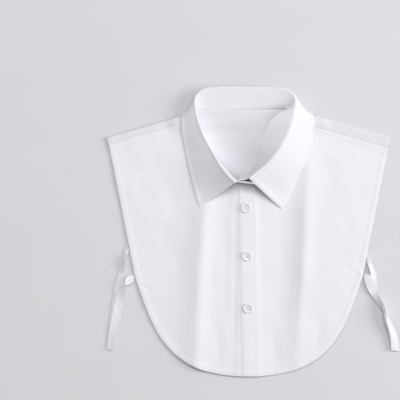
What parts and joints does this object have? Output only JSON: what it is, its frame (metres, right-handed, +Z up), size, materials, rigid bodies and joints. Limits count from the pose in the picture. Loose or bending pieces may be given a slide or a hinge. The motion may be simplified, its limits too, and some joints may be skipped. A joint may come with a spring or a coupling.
{
  "type": "detachable shirt collar",
  "caption": "False shirt front: a pointed collar on a stand, two short front panels with a buttoned placket, a back panel and side ties, laid flat.",
  "frame": {"origin": "under the middle of the whole object's box, on the surface that it lies on", "axes": "the garment lies flat with its front up: +Z up from the surface, +Y from the hem to the neck, +X to the wearer's left"},
  "size_m": [0.3722, 0.3684, 0.0365],
  "materials": {
    "shirting": "white plain-woven cotton shirting, matte",
    "collar_cloth": "the same white shirting, two layers fused to an interlining, matte and smooth",
    "button": "translucent white four-hole shirt button, glossy"
  },
  "bodies": {
    "root": {"back_panel": "shirting", "right_front": "shirting", "left_front": "shirting", "placket": "shirting", "collar_stand": "collar_cloth", "collar_fall": "collar_cloth", "button_top": "button", "button_middle": "button", "button_low": "button", "button_stand": "button", "tie_right_front": "shirting", "tie_right_back": "shirting", "tie_left_front": "shirting", "tie_left_back": "shirting"}
  },
  "joints": []
}
